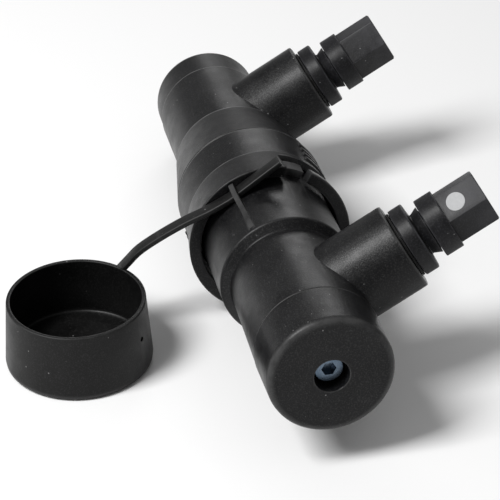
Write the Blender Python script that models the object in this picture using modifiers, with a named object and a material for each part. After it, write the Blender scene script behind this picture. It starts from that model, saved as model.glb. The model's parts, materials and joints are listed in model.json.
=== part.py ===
"""In-line single-pole cable coupler: a plug half and a socket half held by a bayonet ring.

Each half has a side cable gland, an axial clamping screw behind its end cap and a contact
in an insulating carrier. A dust cap hangs on a strap that is hooked on the plug half.

Lengths below are millimetres. In the coupler's own frame X runs along the main axis from
the plug's end face to the socket's end face, Y points to the dust cap's side and Z is up.
"""
import math
from dataclasses import dataclass

import bmesh
import bpy
from mathutils import Matrix, Vector

MM = 0.001
GAP = 0.3
TAU = 2 * math.pi
HOUSING_STEPS = 36

# Overall layout along the main axis
TOTAL_LENGTH = 193.2
BRANCH_RISE = math.radians(29.3)
BRANCH = Vector((0, -math.cos(BRANCH_RISE), math.sin(BRANCH_RISE)))
AXIS = Vector((1, 0, 0))
UP = Vector((0, 0, 1))

# Coupling ring
RIM_STATION = 83.1
RIM_RADIUS = 26.7
CREASE_STATION = 98.7
CREASE_RADIUS = 24.6
RING_END = 116.3
RING_RADIUS = 24.4
RING_BORE = 22.7
RING_EDGE = 0.5
RING_FLAT_DEPTH = 0.7
SLOT_START = 87.1
SLOT_END = 95.0
SLOT_SWEEP = (22.0, 77.5)
SLOT_MOUTH = (58.0, 77.0)
LUG_SWEEP = (59.5, 74.5)
LUG_STATIONS = (87.4, 92.6)
LUG_RADIUS = 24.3
CLIP_STATIONS = (103.6, 105.6)
CLIP_GROOVE_FLOOR = 21.4
CLIP_GROOVE_ROOF = 23.7
CLIP_MOUTH = (262.0, 278.0)
GRIP_START = 101.5
GRIP_PITCH = 3.4
GRIP_WIDTH = 1.4
GRIP_SWEEP = (23.0, 48.0)

# Plug half
REAR_RADII = (19.45, 18.6)
SHOULDER = (56.4, 58.3)
BARREL_RADIUS = 21.6
NOSE_START = 97.0
NOSE_END = 117.0
NOSE_RADIUS = 20.2
NOSE_SEAL = (108.0, 110.4)
NOSE_SEAL_FLOOR = 18.9
PLUG_CAVITY = 17.4
WEB = (60.3, 63.3)
WEB_HOLE = 10.0
HOOK_ANGLE = 119.5
HOOK_WIDTH = 1.6
HOOK_TOP = 26.1
HOOK_STRAP_SEAT = (76.9, 82.5, 24.6)

# Socket half
SLEEVE_START = 99.0
SLEEVE_RADIUS = 22.4
SLEEVE_BORE = 20.5
SOCKET_WEB = (118.5, 122.0)
FLARE_START = 116.6
FLARE_END = 142.2
FLARE_END_RADIUS = 20.1
SOCKET_RADIUS = 18.6
TOWER_RADIUS = 14.0
TOWER_START = 72.0
TOWER_FLANGE = (122.3, 134.0)
FACE_GASKET_RADII = (22.2, 20.6)

# Contacts and wire clamps
PIN_RADIUS = 4.0
PIN_END = 109.0
CONTACT_RADIUS = 7.0
CONTACT_START = 76.3
CONTACT_BORE = 4.3
SLIT_LENGTH = 24.0
BLOCK_RADIUS = 8.0
BLOCK_HALF = 11.5
WIRE_HOLE = 3.2
SCREW_RADIUS = 2.8
SCREW_HEAD = (4.2, 8.6, 4.6)
KEY_FLATS = 4.0
KEY_DEPTH = 2.8
PAD = (5.3, 3.6)
STUD_RADIUS = 2.7
STUD_DEPTH = 5.7
CARRIER_START = 44.0
CUP_WALL = 2.7
CARRIER_FLANGE = 50.8
TOWER_END = 153.5
BAND = (82.0, 94.0, 5.4)

# End caps, measured inwards from the cap's shoulder
ACCESS_RADIUS = 5.4
SPIGOT_LENGTH = 8.0
SEAL_GROOVE = (2.4, 4.6)
SEAL_GROOVE_DEPTH = 1.4

# Side glands, measured outwards from the main axis
TUBE_RADIUS = 14.1
TUBE_END = 36.9
TUBE_BORE = 9.0
FLANGE = (38.0, 42.7, 11.3)
NECK_RADIUS = 6.6
STOP = (46.0, 8.0)
BODY_START = 24.0
SPIGOT_RADIUS = 6.5
SPIGOT_END = 57.0
CABLE_BORE = 3.7
GROMMET_BORE = 5.4
GROMMET = (58.0, 3.1)
GASKET_RADII = (10.9, 9.2)
THRUST_RING = (58.3, 59.7, 3.9)
COLLAR = (46.3, 52.4, 9.8)
NUT_END = 65.8
NUT_FLATS = 16.0
NUT_BORE = 6.9
NUT_SHOULDER = 60.0
NUT_THROAT = (61.2, 4.2)
NUT_MOUTH_RADIUS = 6.0
MARKER_RADIUS = 2.9
MARKER_STATION = 57.3

# Dust cap and its strap
CAP_CENTRE = (69.1, 65.8)
CAP_HEIGHT = 23.0
CAP_BASE_RADIUS = 23.8
CAP_RIM_RADIUS = 22.05
CAP_WALL = 1.35
CAP_FLOOR = 2.5
STRAP_WIDTH = 4.6
STRAP_THICKNESS = 1.8
STRAP_TAIL = [(80.3, -3.0, 30.1), (80.3, 4.2, 25.2), (80.3, 11.5, 20.2), (80.3, 13.8, 18.75)]
STRAP_BEND = (80.3, 14.3, 18.4)
STRAP_SPAN = [
    (80.3, 15.0, 18.05),
    (80.3, 20.6, 15.4),
    (80.9, 28.6, 11.9),
    (82.0, 36.4, 7.4),
    (83.0, 42.9, 2.9),
    (83.5, 45.6, 0.1),
]
CAP_BEND = (83.6, 46.3, -0.7)
STRAP_TAB = [(83.7, 46.9, -1.35), (84.2, 50.6, -5.4)]

# The coupler lies on its ring, on the flats under its front and back edges
RING_FRONT = Vector((RIM_STATION + RING_EDGE, RIM_RADIUS - RING_FLAT_DEPTH))
RING_BACK = Vector((RING_END - GAP, RING_RADIUS - RING_FLAT_DEPTH))
TILT = math.atan2(RING_FRONT.y - RING_BACK.y, RING_BACK.x - RING_FRONT.x)
AXIS_HEIGHT = RING_FRONT.y * math.cos(TILT) + RING_FRONT.x * math.sin(TILT)


@dataclass
class Half:
    """What differs between the two halves, measured inwards from their own end face."""

    name: str
    face: float
    inwards: int
    cap_radius: float
    cap_length: float
    cap_edge: float
    chamber: float
    gland: float
    nut_angle: float


PLUG = Half("plug", 0.0, 1, 19.6, 18.2, 2.4, 17.1, 38.5, 125.6)
SOCKET = Half("socket", TOTAL_LENGTH, -1, 18.3, 13.5, 2.0, 15.9, 34.0, 139.6)


def clear_scene():
    for obj in list(bpy.data.objects):
        bpy.data.objects.remove(obj, do_unlink=True)


def collection(name):
    made = bpy.data.collections.new(name)
    bpy.context.scene.collection.children.link(made)
    return made


def material(name, colour, roughness, metallic=0.0):
    made = bpy.data.materials.new(name)
    made.use_nodes = True
    shader = made.node_tree.nodes["Principled BSDF"]
    shader.inputs["Base Color"].default_value = (*colour, 1.0)
    shader.inputs["Roughness"].default_value = roughness
    shader.inputs["Metallic"].default_value = metallic
    return made


def add_object(name, data, group):
    obj = bpy.data.objects.new(name, data)
    group.objects.link(obj)
    if group is CUTTERS:
        obj.hide_render = True
        obj.display_type = "WIRE"
    return obj


def place(obj, parent, origin=(0, 0, 0), along=UP, across=AXIS):
    """Puts obj's local Z along and its local X across, both in the parent's frame."""
    z = Vector(along).normalized()
    y = z.cross(Vector(across)).normalized()
    x = y.cross(z)
    turn = Matrix((x, y, z)).transposed().to_4x4()
    obj.parent = parent
    obj.matrix_basis = Matrix.Translation(Vector(origin) * MM) @ turn
    return obj


def empty(name, parent, origin=(0, 0, 0), along=UP, across=AXIS):
    return place(add_object(name, None, PARTS), parent, origin, along, across)


def on_main_axis(obj):
    return place(obj, COUPLER, along=AXIS, across=UP)


def on_half(obj, half):
    """Local Z starts at the half's end face and runs inwards."""
    return place(obj, COUPLER, (half.face, 0, 0), AXIS * half.inwards, UP)


def on_branch(obj, half):
    """Local Z runs outwards along the half's side gland."""
    station = half.face + half.inwards * half.gland
    return place(obj, COUPLER, (station, 0, 0), BRANCH, AXIS)


def round_corner(station, radius, size, steps=2):
    """Points of an outer edge rounded by size, from an end face at station to the side."""
    points = []
    for i in range(steps + 1):
        angle = math.pi / 2 * i / steps
        depth, drop = size * (1 - math.sin(angle)), size * (1 - math.cos(angle))
        points.append((station + depth, radius - drop))
    return points[::-1]


def turned(name, outline, steps=24, group=None):
    """A body turned about local Z from (station, radius) points, outer side first."""
    points = [Vector((radius, 0, station)) * MM for station, radius in reversed(outline)]
    mesh = bpy.data.meshes.new(name)
    closed = outline[0][1] > 0
    edges = [(i, i + 1) for i in range(len(points) - 1)]
    if closed:
        edges.append((len(points) - 1, 0))
    mesh.from_pydata(points, edges, [])
    obj = add_object(name, mesh, group or PARTS)
    screw = obj.modifiers.new("turn", "SCREW")
    screw.axis = "Z"
    screw.steps = steps
    screw.render_steps = steps
    screw.use_merge_vertices = True
    screw.merge_threshold = 1e-6
    return obj


def rod(outline):
    """Closes an outer outline onto the axis, for a solid body."""
    return [(outline[0][0], 0.0), *outline, (outline[-1][0], 0.0)]


def plate(name, points, thickness, group=None):
    """A flat outline in local X and Y, thickened by the same amount each way along local Z."""
    curve = bpy.data.curves.new(name, "CURVE")
    curve.dimensions = "2D"
    curve.fill_mode = "BOTH"
    curve.extrude = thickness / 2 * MM
    spline = curve.splines.new("POLY")
    spline.points.add(len(points) - 1)
    spline.use_cyclic_u = True
    for target, (x, y) in zip(spline.points, points):
        target.co = (x * MM, y * MM, 0, 1)
    source = bpy.data.objects.new(name + "_outline", curve)
    PARTS.objects.link(source)
    evaluated = source.evaluated_get(bpy.context.evaluated_depsgraph_get())
    mesh = bpy.data.meshes.new_from_object(evaluated)
    bpy.data.objects.remove(source, do_unlink=True)
    bpy.data.curves.remove(curve)
    work = bmesh.new()
    work.from_mesh(mesh)
    bmesh.ops.remove_doubles(work, verts=work.verts, dist=1e-6)
    bmesh.ops.recalc_face_normals(work, faces=work.faces)
    work.to_mesh(mesh)
    work.free()
    return add_object(name, mesh, group or PARTS)


def sector(name, radii, sweep, stations, group=None):
    """A block between two radii and two stations, swept in degrees over the top from -Y."""
    inner, outer = radii
    first, last = sweep
    steps = max(2, round((last - first) / 8))
    angles = [math.radians(first + (last - first) * i / steps) for i in range(steps + 1)]
    arc = [(math.sin(a), math.cos(a)) for a in angles]
    points = [(x * outer, y * outer) for x, y in arc]
    points += [(x * inner, y * inner) for x, y in reversed(arc)]
    obj = plate(name, points, stations[1] - stations[0], group)
    middle = (stations[0] + stations[1]) / 2
    return place(obj, COUPLER, (middle, 0, 0), AXIS, UP)


def block(name, size, group=None):
    mesh = bpy.data.meshes.new(name)
    work = bmesh.new()
    bmesh.ops.create_cube(work, size=1.0)
    bmesh.ops.scale(work, verts=work.verts, vec=Vector(size) * MM)
    work.to_mesh(mesh)
    work.free()
    return add_object(name, mesh, group or PARTS)


def hexagon(name, flats, stations, group=None):
    mesh = bpy.data.meshes.new(name)
    work = bmesh.new()
    radius = flats / math.sqrt(3) * MM
    depth = (stations[1] - stations[0]) * MM
    bmesh.ops.create_cone(
        work, cap_ends=True, segments=6, radius1=radius, radius2=radius, depth=depth
    )
    middle = (stations[0] + stations[1]) / 2 * MM
    bmesh.ops.translate(work, verts=work.verts, vec=(0, 0, middle))
    work.to_mesh(mesh)
    work.free()
    return add_object(name, mesh, group or PARTS)


def combine(target, other, operation):
    change = target.modifiers.new(operation.lower(), "BOOLEAN")
    change.object = other
    change.operation = operation
    change.solver = "EXACT"
    return target


def smooth_path(points, steps=5):
    """Catmull-Rom curve through the points."""
    knots = [Vector(p) for p in points]
    knots = [2 * knots[0] - knots[1], *knots, 2 * knots[-1] - knots[-2]]
    path = []
    for a, b, c, d in zip(knots, knots[1:], knots[2:], knots[3:]):
        for i in range(steps):
            t = i / steps
            path.append(
                0.5 * (2 * b + (c - a) * t + (2 * a - 5 * b + 4 * c - d) * t**2
                       + (3 * b - a - 3 * c + d) * t**3)
            )
    path.append(knots[-2])
    return path


def strap(name, route, hinge):
    """A flat strap along a route in the coupler's frame, parented to an empty on its hinge."""
    path = smooth_path(route, 3)
    mesh = bpy.data.meshes.new(name)
    work = bmesh.new()
    bmesh.ops.create_grid(work, x_segments=len(path) - 1, y_segments=1, size=0.5)
    last = len(path) - 1
    for vert in work.verts:
        spot = path[round((vert.co.x + 0.5) * last)]
        side = math.copysign(STRAP_WIDTH / 2, vert.co.y)
        vert.co = (spot + AXIS * side) * MM - hinge.location
    work.to_mesh(mesh)
    work.free()
    obj = add_object(name, mesh, PARTS)
    obj.parent = hinge
    shell = obj.modifiers.new("thickness", "SOLIDIFY")
    shell.thickness = STRAP_THICKNESS * MM
    shell.offset = 0
    shell.use_even_offset = True
    return obj


def seal_ring(name, radius, section, station):
    """An O-ring about local Z."""
    steps = 6
    outline = []
    for i in range(steps):
        angle = TAU * i / steps
        outline.append((station - section * math.cos(angle), radius + section * math.sin(angle)))
    return turned(name, outline, 20)


def end_cap(half):
    """Screwed-in end cap with a seal on its spigot and a hole for the driver of the screw."""
    radius, length, edge = half.cap_radius, half.cap_length, half.cap_edge
    spigot = half.chamber - GAP
    groove_start, groove_end = length + SEAL_GROOVE[0], length + SEAL_GROOVE[1]
    groove_floor = spigot - SEAL_GROOVE_DEPTH
    outline = [(0, ACCESS_RADIUS), *round_corner(0, radius, edge)]
    outline += [(length, radius), (length, spigot), (groove_start, spigot)]
    outline += [(groove_start, groove_floor), (groove_end, groove_floor), (groove_end, spigot)]
    outline += [(length + SPIGOT_LENGTH, spigot), (length + SPIGOT_LENGTH, ACCESS_RADIUS)]
    cap = on_half(turned(half.name + "_end_cap", outline), half)
    section = SEAL_GROOVE_DEPTH / 2 - 0.15
    middle = (groove_start + groove_end) / 2
    seal = seal_ring(half.name + "_end_seal", spigot - SEAL_GROOVE_DEPTH / 2, section, middle)
    return cap, on_half(seal, half)


def clamp(half):
    """Brass terminal block with a side hole for the wire, a screw and the pad it pushes."""
    gland = half.gland
    near, far = gland - BLOCK_HALF, gland + BLOCK_HALF
    bore = SCREW_RADIUS + GAP
    body = turned(half.name + "_terminal_block", rod([(near, BLOCK_RADIUS), (far, BLOCK_RADIUS)]), 24)
    on_half(body, half)
    screw_bore = turned("screw_bore", rod([(near - 1, bore), (gland, bore)]), 24, CUTTERS)
    stud_bore = turned("stud_bore", rod([(far - 6, STUD_RADIUS + GAP), (far + 1, STUD_RADIUS + GAP)]),
                       24, CUTTERS)
    wire_bore = turned("wire_bore", rod([(-1.2, WIRE_HOLE), (12, WIRE_HOLE)]), 24, CUTTERS)
    combine(body, on_half(screw_bore, half), "DIFFERENCE")
    combine(body, on_half(stud_bore, half), "DIFFERENCE")
    combine(body, on_branch(wire_bore, half), "DIFFERENCE")

    pad_back, pad_front = gland - PAD[0], gland - PAD[1]
    radius = SCREW_RADIUS - 0.2
    pad = turned(half.name + "_clamp_pad", rod([(pad_back, radius), (pad_front, radius)]), 24)
    top, under, head = SCREW_HEAD
    outline = rod([(top, head - 0.4), (top + 0.4, head), (under, head), (under, SCREW_RADIUS),
                   (pad_back - GAP - 0.8, SCREW_RADIUS), (pad_back - GAP, SCREW_RADIUS - 0.8)])
    screw = turned(half.name + "_clamp_screw", outline, 24)
    key = hexagon("key_recess", KEY_FLATS, (top - 1, top + KEY_DEPTH), CUTTERS)
    combine(screw, on_half(key, half), "DIFFERENCE")
    return body, on_half(pad, half), on_half(screw, half)


def gland(half):
    """Gasket, screwed-in gland body, grommet, thrust ring and hexagonal gland nut."""
    low, high, flange = FLANGE
    stop, stop_radius = STOP
    outline = [(BODY_START, TUBE_BORE - GAP), (low, TUBE_BORE - GAP), (low, flange - 0.4)]
    outline += [(low + 0.4, flange), (high - 0.6, flange), (high, flange - 0.6)]
    outline += [(high + 0.3, NECK_RADIUS), (stop, stop_radius), (stop, SPIGOT_RADIUS)]
    outline += [(SPIGOT_END, SPIGOT_RADIUS), (SPIGOT_END, GROMMET_BORE)]
    outline += [(stop + 1, GROMMET_BORE), (stop + 1, CABLE_BORE), (BODY_START, CABLE_BORE)]
    body = turned(half.name + "_gland_body", outline, 24)

    near, far = TUBE_END + 0.2, low - GAP
    outer, inner = GASKET_RADII
    washer = [(near, outer), (far, outer), (far, inner), (near, inner)]
    gasket = turned(half.name + "_gland_gasket", washer, 24)

    near, outer = stop + 1 + GAP, GROMMET_BORE - GAP
    far, inner = GROMMET
    sleeve = [(near, outer), (far, outer), (far, inner), (near, inner)]
    grommet = turned(half.name + "_grommet", sleeve, 24)

    near, far, inner = THRUST_RING
    ring = [(near, SPIGOT_RADIUS), (far, SPIGOT_RADIUS), (far, inner), (near, inner)]
    thrust = turned(half.name + "_thrust_ring", ring, 24)

    start, end, collar = COLLAR
    nut = hexagon(half.name + "_gland_nut", NUT_FLATS, (end - 2, NUT_END))
    skirt = [(start, collar - 0.4), (start + 0.4, collar), (end - 0.2, collar), (end, collar - 0.2)]
    skirt = turned("nut_collar", rod(skirt), 24, CUTTERS)
    hole = [(start - 1, NUT_BORE), (NUT_SHOULDER, NUT_BORE), (NUT_SHOULDER, NUT_THROAT[1]), NUT_THROAT]
    hole += [(NUT_END + 0.5, NUT_MOUTH_RADIUS)]
    hole = turned("nut_hole", rod(hole), 24, CUTTERS)
    combine(nut, on_nut(skirt, half), "UNION")
    combine(nut, on_nut(hole, half), "DIFFERENCE")
    for obj in (body, gasket, grommet, thrust):
        on_branch(obj, half)
    on_nut(nut, half)
    return body, gasket, grommet, thrust, nut


def on_nut(obj, half):
    """On the side gland, turned so that local X is square to the nut's facing flat."""
    angle = math.radians(half.nut_angle)
    side = AXIS * math.cos(angle) + BRANCH.cross(AXIS) * math.sin(angle)
    station = half.face + half.inwards * half.gland
    return place(obj, COUPLER, (station, 0, 0), BRANCH, side)


def nut_marker(nut, half):
    """Round coloured inlay in the nut's facing flat, and the pocket it sits in."""
    pocket = turned("marker_pocket", rod([(-0.6, MARKER_RADIUS + 0.2), (1.0, MARKER_RADIUS + 0.2)]),
                    24, CUTTERS)
    marker = turned("nut_marker", rod([(-0.4, MARKER_RADIUS), (0.1, MARKER_RADIUS)]), 24)
    for obj in (pocket, marker):
        on_nut(obj, half)
        frame = obj.matrix_basis.copy()
        spot = Matrix.Translation(Vector((NUT_FLATS / 2, 0, MARKER_STATION)) * MM)
        obj.matrix_basis = frame @ spot @ Matrix.Rotation(math.pi / 2, 4, "Y")
    combine(nut, pocket, "DIFFERENCE")
    return marker


def side_tube(half, housing):
    """The tube that carries the side gland, and its bore into the wire chamber."""
    lip = [(10, TUBE_RADIUS), (TUBE_END - 0.8, TUBE_RADIUS), (TUBE_END, TUBE_RADIUS - 0.8)]
    tube = on_branch(turned("side_tube", rod(lip), 28, CUTTERS), half)
    bore = turned("side_bore", rod([(8, TUBE_BORE), (TUBE_END + 1, TUBE_BORE)]), 24, CUTTERS)
    combine(housing, tube, "UNION")
    return on_branch(bore, half)


def plug_housing():
    """Barrel with the side tube, two bayonet lugs, the strap hook and the sealing nose."""
    start = PLUG.cap_length + GAP
    seal_start, seal_end = NOSE_SEAL
    outline = [(start, REAR_RADII[0]), (SHOULDER[0], REAR_RADII[1]), (SHOULDER[1], BARREL_RADIUS)]
    outline += [(NOSE_START, BARREL_RADIUS), (NOSE_START, NOSE_RADIUS)]
    outline += [(seal_start, NOSE_RADIUS), (seal_start, NOSE_SEAL_FLOOR)]
    outline += [(seal_end, NOSE_SEAL_FLOOR), (seal_end, NOSE_RADIUS)]
    outline += [(NOSE_END - 0.8, NOSE_RADIUS), (NOSE_END, NOSE_RADIUS - 0.8)]
    housing = on_main_axis(turned("plug_housing", rod(outline), HOUSING_STEPS))
    bore = side_tube(PLUG, housing)

    for turn in (0, 180):
        sweep = [angle + turn for angle in LUG_SWEEP]
        lug = sector("lug", (BARREL_RADIUS - 0.6, LUG_RADIUS), sweep, LUG_STATIONS, CUTTERS)
        combine(housing, lug, "UNION")

    foot = BARREL_RADIUS - 0.5
    seat_start, seat_end, seat = HOOK_STRAP_SEAT
    rib = [(60.0, foot), (seat_start, foot), (seat_start, seat), (seat_end, seat)]
    rib += [(seat_end, HOOK_TOP), (seat_start - 1.4, HOOK_TOP), (68.0, 23.0)]
    rib += [(60.0, BARREL_RADIUS + 0.2)]
    hook = plate("strap_hook", rib, HOOK_WIDTH, CUTTERS)
    angle = math.radians(HOOK_ANGLE)
    radial = Vector((0, -math.cos(angle), math.sin(angle)))
    place(hook, COUPLER, along=AXIS.cross(radial), across=AXIS)
    combine(housing, hook, "UNION")

    web_start, web_end = WEB
    inside = [(start - 1, PLUG.chamber), (web_start, PLUG.chamber), (web_start, WEB_HOLE)]
    inside += [(web_end, WEB_HOLE), (web_end, PLUG_CAVITY), (NOSE_END + 1, PLUG_CAVITY)]
    inside = on_main_axis(turned("plug_inside", rod(inside), HOUSING_STEPS, CUTTERS))
    combine(housing, inside, "DIFFERENCE")
    combine(housing, bore, "DIFFERENCE")
    return housing


def plug_contact():
    """Insulating carrier and the contact pin it centres."""
    block_end = PLUG.gland + BLOCK_HALF
    web_start, web_end = WEB
    cup = BLOCK_RADIUS + GAP
    outline = [(CARRIER_START, cup + CUP_WALL), (CARRIER_FLANGE, cup + CUP_WALL)]
    outline += [(CARRIER_FLANGE, PLUG.chamber - GAP)]
    outline += [(web_start - GAP, PLUG.chamber - GAP), (web_start - GAP, WEB_HOLE - GAP)]
    outline += [(web_end + 3, WEB_HOLE - GAP), (web_end + 3, PIN_RADIUS + GAP)]
    outline += [(block_end + GAP, PIN_RADIUS + GAP), (block_end + GAP, cup), (CARRIER_START, cup)]
    carrier = on_main_axis(turned("plug_contact_carrier", outline, 24))
    outline = [(block_end - STUD_DEPTH, STUD_RADIUS), (block_end + GAP, STUD_RADIUS)]
    outline += [(block_end + GAP, PIN_RADIUS), (PIN_END - 2.5, PIN_RADIUS)]
    outline += [(PIN_END - 0.7, PIN_RADIUS - 1.2), (PIN_END, PIN_RADIUS - 2.6)]
    pin = on_main_axis(turned("plug_contact_pin", rod(outline), 24))
    return carrier, pin


def socket_housing():
    """Sleeve for the plug's nose, flared shoulder, barrel and side tube."""
    clip_start, clip_end = CLIP_STATIONS
    web_start, web_end = SOCKET_WEB
    end = TOTAL_LENGTH - SOCKET.cap_length - GAP
    outline = [(SLEEVE_START, SLEEVE_RADIUS), (clip_start, SLEEVE_RADIUS)]
    outline += [(clip_start, CLIP_GROOVE_FLOOR), (clip_end, CLIP_GROOVE_FLOOR)]
    outline += [(clip_end, SLEEVE_RADIUS), (FLARE_START, SLEEVE_RADIUS)]
    outline += [(FLARE_START, RING_RADIUS - 0.3), (FLARE_START + 0.3, RING_RADIUS)]
    outline += [(FLARE_END - 0.3, FLARE_END_RADIUS + 0.05), (FLARE_END, FLARE_END_RADIUS - 0.3)]
    outline += [(FLARE_END, SOCKET_RADIUS), (end - 0.4, SOCKET_RADIUS), (end, SOCKET_RADIUS - 0.4)]
    housing = on_main_axis(turned("socket_housing", rod(outline), HOUSING_STEPS))
    bore = side_tube(SOCKET, housing)
    inside = [(SLEEVE_START - 1, SLEEVE_BORE), (web_start, SLEEVE_BORE)]
    inside += [(web_start, TOWER_RADIUS + GAP), (web_end, TOWER_RADIUS + GAP)]
    inside += [(web_end, SOCKET.chamber), (end + 1, SOCKET.chamber)]
    inside = on_main_axis(turned("socket_inside", rod(inside), HOUSING_STEPS, CUTTERS))
    combine(housing, inside, "DIFFERENCE")
    combine(housing, bore, "DIFFERENCE")
    return cut_by_floor(housing)


def socket_contact():
    """Insulating tower, slotted female contact and the contact band inside it."""
    block_start = TOTAL_LENGTH - SOCKET.gland - BLOCK_HALF
    cup = BLOCK_RADIUS + GAP
    flange_start, flange_end = TOWER_FLANGE
    bore = CONTACT_RADIUS + GAP
    outline = [(TOWER_START, TOWER_RADIUS - 1.4), (TOWER_START + 1.4, TOWER_RADIUS)]
    outline += [(flange_start, TOWER_RADIUS), (flange_start, SOCKET.chamber - GAP)]
    outline += [(flange_end, SOCKET.chamber - GAP), (flange_end, cup + CUP_WALL)]
    outline += [(TOWER_END, cup + CUP_WALL), (TOWER_END, cup), (block_start - GAP, cup)]
    outline += [(block_start - GAP, bore)]
    outline += [(CONTACT_START - GAP, bore), (CONTACT_START - GAP, PIN_RADIUS + 0.6)]
    outline += [(TOWER_START, PIN_RADIUS + 0.6)]
    tower = on_main_axis(turned("socket_contact_tower", outline, 24))

    back = block_start - 2 * GAP
    outline = [(CONTACT_START, CONTACT_RADIUS), (back, CONTACT_RADIUS), (back, STUD_RADIUS)]
    outline += [(back + STUD_DEPTH, STUD_RADIUS)]
    contact = on_main_axis(turned("socket_contact", rod(outline), 24))
    band_start, band_end, recess = BAND
    bore = [(CONTACT_START - 1, CONTACT_BORE), (band_start, CONTACT_BORE), (band_start, recess)]
    bore += [(band_end, recess), (band_end, CONTACT_BORE), (PIN_END + 4, CONTACT_BORE)]
    bore = on_main_axis(turned("contact_bore", rod(bore), 24, CUTTERS))
    combine(contact, bore, "DIFFERENCE")
    for across in ((0, 1, 1), (0, 1, -1)):
        slit = block("contact_slit", (20, 0.8, SLIT_LENGTH), CUTTERS)
        place(slit, COUPLER, (CONTACT_START - 1 + SLIT_LENGTH / 2, 0, 0), AXIS, across)
        combine(contact, slit, "DIFFERENCE")
    band_start, band_end, outer = band_start + GAP, band_end - GAP, recess - GAP
    outline = [(band_start, outer), (band_end, outer), (band_end, CONTACT_BORE)]
    outline += [(band_start, CONTACT_BORE)]
    band = on_main_axis(turned("contact_band", outline, 24))
    return tower, contact, band


def cut_by_floor(obj):
    """Gives obj a flat where it would reach below the surface it lies on."""
    floor = block("floor_cut", (100, 60, 20), CUTTERS)
    place(floor, REST, (RING_END, 0, -10))
    return combine(obj, floor, "DIFFERENCE")


def coupling_ring():
    """Bayonet ring with two J-shaped slots, two ribbed grips and flats it lies on."""
    clip_start, clip_end = CLIP_STATIONS
    outline = [(RIM_STATION, RIM_RADIUS - RING_EDGE), (RIM_STATION + RING_EDGE, RIM_RADIUS)]
    outline += [(CREASE_STATION, CREASE_RADIUS), (CREASE_STATION + 0.3, RING_RADIUS)]
    outline += [(RING_END - GAP, RING_RADIUS), (RING_END, RING_RADIUS - GAP), (RING_END, RING_BORE)]
    outline += [(clip_end, RING_BORE), (clip_end, CLIP_GROOVE_ROOF)]
    outline += [(clip_start, CLIP_GROOVE_ROOF), (clip_start, RING_BORE), (RIM_STATION, RING_BORE)]
    ring = on_main_axis(turned("coupling_ring", outline, HOUSING_STEPS))
    for turn in (0, 180):
        radii = (RING_BORE - 1, RIM_RADIUS + 2)
        run = [angle + turn for angle in SLOT_SWEEP]
        mouth = [angle + turn for angle in SLOT_MOUTH]
        slot = sector("slot_run", radii, run, (SLOT_START, SLOT_END), CUTTERS)
        entry = sector("slot_mouth", radii, mouth, (RIM_STATION - 1, SLOT_END - 2), CUTTERS)
        combine(ring, slot, "DIFFERENCE")
        combine(ring, entry, "DIFFERENCE")
        sweep = [angle + turn for angle in GRIP_SWEEP]
        for index in range(4):
            station = GRIP_START + GRIP_PITCH * index
            stations = (station, station + GRIP_WIDTH)
            rib = sector("grip_rib", (RING_RADIUS - 0.4, RING_RADIUS + 0.7), sweep, stations, CUTTERS)
            combine(ring, rib, "UNION")
    return cut_by_floor(ring)


def ring_clip():
    """Open snap ring that holds the coupling ring on the socket's sleeve."""
    start, end = (CLIP_STATIONS[0] + GAP, CLIP_STATIONS[1] - GAP)
    inner, outer = CLIP_GROOVE_FLOOR + 0.4, CLIP_GROOVE_ROOF - 0.4
    clip = turned("ring_clip", [(start, outer), (end, outer), (end, inner), (start, inner)])
    on_main_axis(clip)
    radii, stations = (inner - 1, outer + 1), (start - 1, end + 1)
    opening = sector("clip_opening", radii, CLIP_MOUTH, stations, CUTTERS)
    combine(clip, opening, "DIFFERENCE")
    return clip


def face_gasket():
    start, end = NOSE_START + GAP, SLEEVE_START - GAP
    outer, inner = FACE_GASKET_RADII
    outline = [(start, outer), (end, outer), (end, inner), (start, inner)]
    return on_main_axis(turned("face_gasket", outline))


def nose_seal():
    section = (SLEEVE_BORE - NOSE_SEAL_FLOOR) / 2 - 0.15
    middle = (NOSE_SEAL[0] + NOSE_SEAL[1]) / 2
    radius = (SLEEVE_BORE + NOSE_SEAL_FLOOR) / 2
    return on_main_axis(seal_ring("nose_seal", radius, section, middle))


def dust_cap():
    """Cup that fits over the plug's nose, with the stub of its strap on the rim."""
    outline = round_corner(0, CAP_BASE_RADIUS, 2)
    outline += [(CAP_HEIGHT - 0.3, CAP_RIM_RADIUS), (CAP_HEIGHT, CAP_RIM_RADIUS - 0.3)]
    cap = turned("dust_cap", rod(outline), HOUSING_STEPS)
    floor_radius = CAP_BASE_RADIUS - CAP_WALL - 0.3
    inside = [(CAP_FLOOR, floor_radius - 1), (CAP_FLOOR + 1, floor_radius)]
    inside += [(CAP_HEIGHT + 1, CAP_RIM_RADIUS - CAP_WALL)]
    inside = turned("cap_inside", rod(inside), HOUSING_STEPS, CUTTERS)
    start, end = (Vector(p) for p in STRAP_TAB)
    length = (end - start).length
    stub = block("strap_stub", (STRAP_WIDTH, STRAP_THICKNESS, length), CUTTERS)
    place(stub, COUPLER, (start + end) / 2, end - start, AXIS)
    combine(cap, stub, "UNION")
    combine(cap, inside, "DIFFERENCE")
    centre = Vector((*CAP_CENTRE, 0))
    hinge_spot = CAP_HINGE.location / MM
    place(cap, CAP_HINGE, centre - hinge_spot)
    place(inside, REST, centre)
    return cap


def freeze(obj):
    """Applies the modifiers and shades the round sides smooth."""
    evaluated = obj.evaluated_get(bpy.context.evaluated_depsgraph_get())
    mesh = bpy.data.meshes.new_from_object(evaluated)
    obj.modifiers.clear()
    obj.data = mesh
    mesh.shade_smooth()
    mesh.set_sharp_from_angle(angle=math.radians(35))


def centre_on_floor(objects):
    """Moves the assembly so that the origin is under the middle of its box."""
    corners = [obj.matrix_world @ vert.co for obj in objects for vert in obj.data.vertices]
    low = Vector(min(c[i] for c in corners) for i in range(3))
    high = Vector(max(c[i] for c in corners) for i in range(3))
    REST.location = (-(low.x + high.x) / 2, -(low.y + high.y) / 2, -low.z)


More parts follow.
